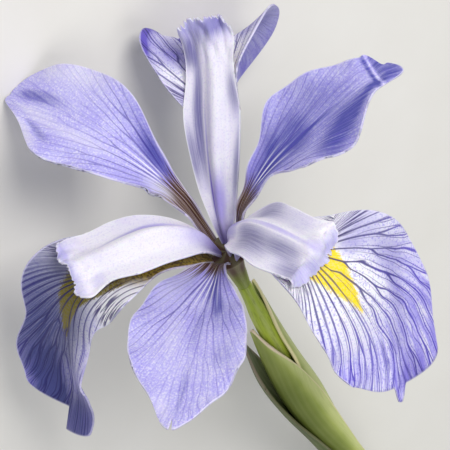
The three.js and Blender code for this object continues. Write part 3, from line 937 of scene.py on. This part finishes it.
style_arm(
    "style_arm_back",
    BACK,
    [
        [1.4, 0.6, 0, 1.2, 1.2, -40, -40],
        [4, 6, 0, 3.3, 3.3, -60, -60],
        [9.5, 10.5, 0, 6.1, 4.7, -60, -60],
        [16, 15, 0, 7.9, 5.7, -58, -55],
        [24, 18.5, 0, 9.2, 5.8, -52, -48],
        [31, 22, 0, 7.4, 4.6, -40, -40],
        [35.5, 26.5, 0, 6.6, 5.2, -28, -30],
        [38.5, 32.5, 0, 7.8, 4.9, -15, -20],
    ],
    reach=(0.9, 0.93),
    # Violet spots: the band along the ridge and its foot; grey spots: painted shade on the flanks and crest
    # turned from the light
    tones=[
        (0.62, 0.56, 0.15, 0.27, -1, 0), (0.43, 0.36, 0.07, 0.25, 0.7, 0), (0.1, 0.22, 0.5, 0.12, 0.75, 0),
        (0.9, 0.42, 0.18, 0.12, -0.8, 0), (0.85, 0.82, 0.25, 0.07, -0.9, 0),
        (-0.95, 0.36, 0.2, 0.14, -0.8, 0), (-0.85, 0.64, 0.3, 0.08, -0.7, 0), (0.5, 0.93, 0.7, 0.08, -0.6, 0),
        (-0.4, 0.96, 0.6, 0.05, -1, 0), (0.2, 0.6, 0.12, 0.25, 0.15, 0),
    ],
)

style_arm(
    "style_arm_left",
    LEFT,
    [
        [1.4, 0.6, 0, 1.2, 1.2, -40, -40],
        [3, 9, 0, 4.8, 3.8, -60, -60],
        [6.5, 14.5, 0, 7.4, 6.5, -62, -60],
        [12, 18.5, 0, 8.7, 7.8, -60, -52],
        [18, 19.6, 0, 8.5, 9, -55, -45],
        [24, 20, 0, 7.1, 8.6, -50, -40],
        [28.5, 20.6, 0, 8.6, 8.6, -45, -30],
        [32, 21.5, 0, 7.6, 6.6, -40, -20],
    ],
    reach=(0.88, 0.93),
    cuts=[(0.2, 0.045, 0.4)],
    # Violet spots: the groove along the ridge and its foot; grey spots: painted shade
    tones=[
        (-0.5, 0.45, 0.1, 0.25, 0.6, 0.9), (0, 0.15, 0.6, 0.12, 0.4, 0), (-0.6, 0.95, 0.2, 0.05, 0.5, 0),
        (0.1, 0.95, 0.4, 0.03, -0.6, 0), (0.7, 0.78, 0.2, 0.05, 0.25, 0),
    ],
)

style_arm(
    "style_arm_right",
    RIGHT,
    [
        [1.4, 0.6, 0, 1.2, 1.2, -40, -40],
        [3.8, 9.8, 0, 4, 3.6, -60, -60],
        [7.8, 15.4, 0, 6.7, 6.8, -58, -62],
        [13.2, 20, 0, 8.1, 8.4, -50, -62],
        [19, 21.8, 0, 7.4, 9.7, -45, -58],
        [25, 21.5, 0, 7.1, 9.1, -42, -52],
        [29.5, 20.5, 0, 7.7, 8.5, -30, -42],
        [31.5, 16.5, 0, 6, 9.6, -20, -25],
    ],
    reach=(0.93, 0.93),
    # Violet spots: the line along the ridge and its foot; grey spots: painted shade on the flank turned from
    # the light
    tones=[
        (0, 0.52, 0.06, 0.3, 0.6, 0), (-0.1, 0.24, 0.5, 0.1, 0.6, 0), (-0.45, 0.42, 0.45, 0.2, -0.75, 0),
        (-0.35, 0.68, 0.25, 0.1, -0.6, 0), (-0.8, 0.8, 0.3, 0.12, -0.7, 0), (0.8, 0.42, 0.35, 0.14, -0.6, 0),
        (0.5, 0.45, 0.3, 0.14, -0.25, 0), (0.7, 0.65, 0.4, 0.1, -0.3, 0), (0.1, 0.85, 0.2, 0.06, 0.3, 0),
        (-0.3, 0.94, 0.12, 0.05, -0.5, 0), (0.5, 0.95, 0.5, 0.04, -0.35, 0),
    ],
)

POLLEN = pollen_finish()
FILAMENT = filament_finish()

# The stamens, and the gap between filament and anther
FILAMENT_RADIUS = 0.42
ANTHER_RADIUS = 0.9
ANTHER_LENGTH = 10.9
ANTHER_GAP = 0.3


def filament_radius(u, around):
    """Even along the filament, and closed by a blunt cap at either end."""
    return FILAMENT_RADIUS * math.sqrt(max(0, 1 - (2 * u - 1) ** 16))


def anther_radius(u, around):
    """Two cells side by side, with rounded ends."""
    cells = 0.82 + 0.18 * abs(math.cos(around))
    return ANTHER_RADIUS * math.sqrt(max(0, 1 - (2 * u - 1) ** 4)) * cells


def stamen(name, azimuth, route):
    """A filament along [outward, up] points, and a two-celled anther that carries on from it."""
    angle = math.radians(azimuth)
    path = [(out * math.cos(angle), out * math.sin(angle), up) for out, up in route]
    finish_piece("filament_" + name, tube_along(path, filament_radius), [FILAMENT])
    end, before = Vector(path[-1]), Vector(between(path, 0.97))
    heading = (end - before).normalized()
    start = end + heading * ANTHER_GAP
    stop = end + heading * (ANTHER_GAP + ANTHER_LENGTH)
    anther = tube_along([start, start.lerp(stop, 0.5), stop], anther_radius, sides=20)
    finish_piece("anther_" + name, anther, [POLLEN])


stamen("back", BACK, [[2.7, 0.7], [4.1, 3.7], [7.3, 6.4], [11, 8.4]])
stamen("left", LEFT, [[2.7, 0.7], [3.8, 5.2], [6.7, 9], [11, 11.4]])
stamen("right", RIGHT, [[2.7, 0.7], [4.1, 5], [7.2, 9.2], [11.4, 11.9]])


def bract(name, azimuth, stations, reach, material, tones=()):
    """A bract clasps the stalk. Each station is [radius, height, wrap left, wrap right]."""
    clasping = [
        [radius, height, 0, radius * math.radians(left), radius * math.radians(right), left, right]
        for radius, height, left, right in stations
    ]
    bm = blade(azimuth, clasping, reach, fold=wrap_fold, tones=tones, rows=90, columns=24)
    for vert in bm.verts:
        vert.co = bow(vert.co)
    return finish_piece(name, bm, [material], BRACT_THICKNESS)


bract(
    "spathe_back",
    45,
    [
        [2.8, -111.4, 140, 140],
        [2.6, -95, 135, 135],
        [3.6, -79, 125, 125],
        [4.3, -63, 110, 110],
        [3.6, -47, 80, 80],
        [3.0, -31, 62, 72],
        [2.5, -15, 22, 25],
    ],
    reach=(0.9, 0.9),
    material=bract_finish("bract_back", tint(0xA9B75C), tint(0x8C9D42), tint(0xFFF3B8), 0.4),
    tones=[(-0.45, 0.5, 0.35, 0.6, -0.8, 0)],
)

bract(
    "spathe_front",
    225,
    [
        [3.9, -111.4, 140, 140],
        [3.8, -98, 135, 135],
        [4.7, -84, 125, 125],
        [5.4, -70, 118, 118],
        [5.4, -57, 110, 112],
        [4.5, -43, 88, 92],
        [3.3, -29, 18, 18],
    ],
    reach=(0.92, 0.92),
    material=bract_finish("bract_front", tint(0xB2BD62), tint(0x9CAA50), tint(0xFFE9C8), 0.8),
    # Painted shade on the flank turned from the light, and painted light along the lit edge
    tones=[(0.3, 0.4, 0.42, 0.6, 0.75, 0), (0.95, 0.5, 0.22, 0.6, -0.8, 0)],
)

bract(
    "spathe_lower",
    190,
    [
        [4.1, -124, 110, 110],
        [5.3, -113, 105, 105],
        [5.3, -97, 90, 90],
        [5.9, -82, 72, 72],
        [7.3, -66, 52, 52],
        [7.9, -51, 36, 36],
        [6.6, -36, 12, 12],
    ],
    reach=(0.85, 0.85),
    material=bract_finish("bract_lower", tint(0x56652A), tint(0x46541F), tint(0x8F8470), 0.75),
)

stem = turned([
    [0, CUT_HEIGHT],
    [STEM_RADIUS - 0.15, CUT_HEIGHT],
    [STEM_RADIUS, CUT_HEIGHT + 0.3],
    *smooth_profile([
        [STEM_RADIUS, CUT_HEIGHT + 4],
        [STEM_RADIUS, NODE_HEIGHT - 16],
        [STEM_RADIUS + 0.3, NODE_HEIGHT - 8],
        [NODE_RADIUS, NODE_HEIGHT - 2],
        [NODE_RADIUS, NODE_HEIGHT - 0.5],
    ]),
    [PEDICEL_RADIUS + 0.6, NODE_HEIGHT],
    [PEDICEL_RADIUS, NODE_HEIGHT + 14],
    [PEDICEL_RADIUS, PEDICEL_TOP],
    [0, PEDICEL_TOP],
])
STEM_SKIN = stalk_finish("stem_skin", tint(0x6E8A3E), CUT_HEIGHT, tint(0x8AA052), -110, stripes=20)
finish_piece("stem", stem, [STEM_SKIN])


def three_lobed(angle):
    return 1 + 0.06 * math.cos(3 * angle)


ovary = turned([
    [0, OVARY_BOTTOM],
    [1.6, OVARY_BOTTOM],
    *smooth_profile([[1.75, -50.3], [2.1, -43], [2.3, -35], [2.2, -26], [1.7, -19], [1.6, -13.6]]),
    [1.4, OVARY_TOP],
    [0, OVARY_TOP],
], shape=three_lobed)
OVARY_SKIN = stalk_finish("ovary_skin", tint(0xC2D24A), -50, tint(0xB2C644), -14, stripes=6)
finish_piece("ovary", ovary, [OVARY_SKIN])

tube = turned([
    [0, TUBE_BOTTOM],
    [1.6, TUBE_BOTTOM],
    *smooth_profile([[1.65, -12.6], [1.9, -10], [2.3, -6], [3.1, -2.5], [4.6, -0.2]]),
    [4.3, 0],
    [0, 0],
])
TUBE_SKIN = stalk_finish("tube_skin", tint(0x8C9C34), -12, tint(0x5E4034), -5, stripes=6)
finish_piece("perianth_tube", tube, [TUBE_SKIN])


def add_floor():
    bm = bmesh.new()
    bmesh.ops.create_grid(bm, x_segments=1, y_segments=1, size=3)
    mesh = bpy.data.meshes.new("floor")
    bm.to_mesh(mesh)
    bm.free()
    mesh.materials.append(floor_finish())
    floor = bpy.data.objects.new("floor", mesh)
    bpy.context.scene.collection.objects.link(floor)


LIGHT_DISTANCE = 0.9
LIGHT_COLOUR = (1, 0.985, 0.96)


def add_light(name, direction, size, power):
    """A soft square light, seen from the flower in a direction of the eye's frame."""
    lamp = bpy.data.lights.new(name, "AREA")
    lamp.size = size
    lamp.energy = power
    lamp.color = LIGHT_COLOUR
    holder = bpy.data.objects.new(name, lamp)
    heart = LYING @ Vector((0, 0, 10))
    turn = (LYING @ TO_EYE.inverted()).to_3x3()
    towards = (turn @ Vector(direction)).normalized()
    holder.location = heart + towards * LIGHT_DISTANCE
    holder.rotation_euler = towards.to_track_quat("Z", "Y").to_euler()
    bpy.context.scene.collection.objects.link(holder)


def add_studio(colour, strength):
    """An even, slightly cool light from all around."""
    world = bpy.data.worlds.new("studio")
    world.use_nodes = True
    background = world.node_tree.nodes["Background"]
    background.inputs["Color"].default_value = colour
    background.inputs["Strength"].default_value = strength
    bpy.context.scene.world = world


add_floor()
add_light("window", (0.3, 0.25, 0.9), size=0.35, power=4.9)
add_light("fill", (0.5, -0.5, 0.75), size=0.5, power=1.9)
add_studio((0.9, 0.94, 1, 1), 0.4)
bpy.context.scene.view_settings.view_transform = "Standard"
